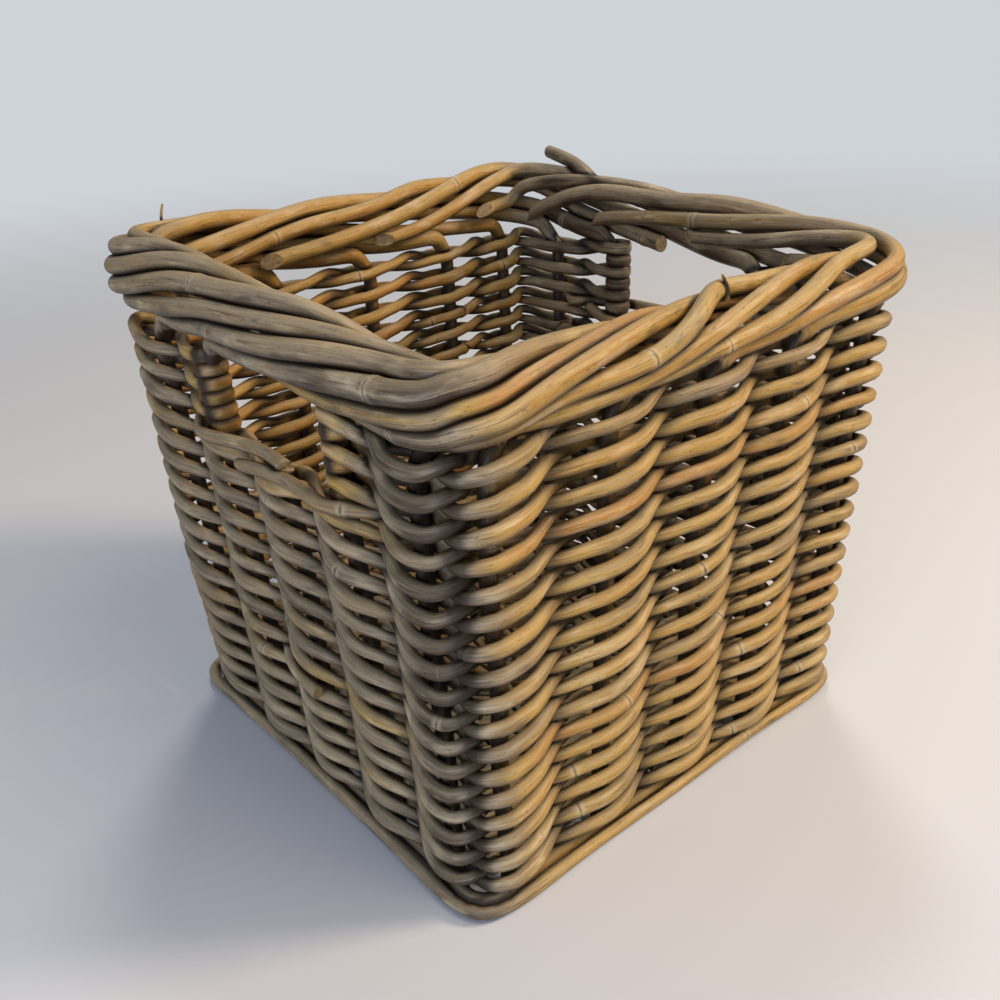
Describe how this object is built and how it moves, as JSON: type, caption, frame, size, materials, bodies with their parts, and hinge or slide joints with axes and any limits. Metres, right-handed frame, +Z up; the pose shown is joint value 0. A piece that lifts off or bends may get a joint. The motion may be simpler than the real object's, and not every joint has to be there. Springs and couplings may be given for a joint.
{
  "type": "wicker storage basket",
  "caption": "Open square storage basket of thick grey rattan, wider at the top, with a rolled border and a hand hole in two opposite walls.",
  "frame": {"origin": "centre of the base, on the surface that the basket stands on", "axes": "+Z up; -Y is the front wall; the hand holes are in the -X and +X walls"},
  "size_m": [0.3008, 0.2996, 0.2714],
  "materials": {
    "weave_cane": "peeled kubu rattan strands, grey brown to golden, satin",
    "stake_cane": "whole kubu rattan rods, grey brown, satin",
    "border_cane": "thick kubu rattan rods, grey brown to golden, satin",
    "base_cane": "kubu rattan rods and flat canes, dull"
  },
  "bodies": {
    "root": {"base_hoop": "base_cane", "base_stick_1": "base_cane", "base_stick_2": "base_cane", "base_stick_3": "base_cane", "base_stick_4": "base_cane", "base_stick_5": "base_cane", "base_stick_6": "base_cane", "base_stick_7": "base_cane", "base_weaver_1": "base_cane", "base_weaver_2": "base_cane", "base_weaver_3": "base_cane", "base_weaver_4": "base_cane", "base_weaver_5": "base_cane", "base_weaver_6": "base_cane", "base_weaver_7": "base_cane", "base_weaver_8": "base_cane", "base_weaver_9": "base_cane", "stake_front_1": "stake_cane", "stake_front_2": "stake_cane", "stake_front_3": "stake_cane", "stake_front_4": "stake_cane", "stake_front_5": "stake_cane", "stake_right_1": "stake_cane", "stake_right_2": "stake_cane", "stake_right_3": "stake_cane", "handle_rod_right": "border_cane", "stake_right_4": "stake_cane", "stake_right_5": "stake_cane", "stake_back_1": "stake_cane", "stake_back_2": "stake_cane", "stake_back_3": "stake_cane", "stake_back_4": "stake_cane", "stake_back_5": "stake_cane", "stake_left_1": "stake_cane", "stake_left_2": "stake_cane", "stake_left_3": "stake_cane", "handle_rod_left": "border_cane", "stake_left_4": "stake_cane", "stake_left_5": "stake_cane", "weaver_round_01": "weave_cane", "weaver_round_02": "weave_cane", "weaver_round_03": "weave_cane", "weaver_round_04": "weave_cane", "weaver_round_05": "weave_cane", "weaver_round_06": "weave_cane", "weaver_round_07": "weave_cane", "weaver_round_08": "weave_cane", "weaver_round_09": "weave_cane", "weaver_round_10": "weave_cane", "weaver_round_11": "weave_cane", "weaver_round_12": "weave_cane", "weaver_round_13": "weave_cane", "weaver_round_14": "weave_cane", "weaver_back_top_1": "weave_cane", "weaver_back_top_2": "weave_cane", "weaver_back_top_3": "weave_cane", "weaver_front_top_1": "weave_cane", "weaver_front_top_2": "weave_cane", "weaver_front_top_3": "weave_cane"}
  },
  "joints": []
}
